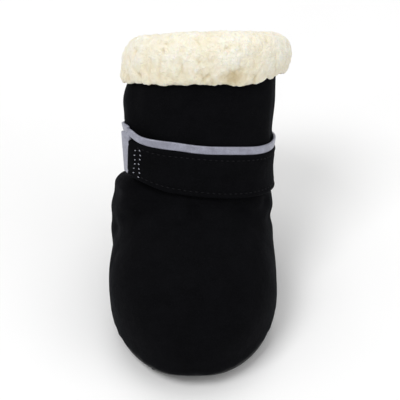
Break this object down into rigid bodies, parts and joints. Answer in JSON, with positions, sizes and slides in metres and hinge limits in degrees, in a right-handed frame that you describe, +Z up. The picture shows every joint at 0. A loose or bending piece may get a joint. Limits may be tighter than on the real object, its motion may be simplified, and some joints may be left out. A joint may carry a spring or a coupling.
{
  "type": "dog shoe",
  "caption": "Soft winter boot for a small dog: hollow pile-fabric upper and shaft, rolled fleece collar, ankle strap with reflective piping and a dotted anti-slip sole.",
  "frame": {"origin": "centre of the sole's ground face, under the middle of the foot", "axes": "+Z up from the ground, toe along -Y, heel along +Y, X across the foot"},
  "size_m": [0.0559, 0.0915, 0.0881],
  "materials": {
    "pile_fabric": "short matt black pile",
    "sole_rubber": "matt dotted rubber",
    "fleece": "curly cream fleece",
    "reflective_tape": "grey reflective weave"
  },
  "bodies": {
    "root": {"upper": "pile_fabric", "outsole": "sole_rubber", "insole": "fleece", "fleece_collar": "fleece", "strap": "pile_fabric", "strap_piping": "reflective_tape"}
  },
  "joints": []
}
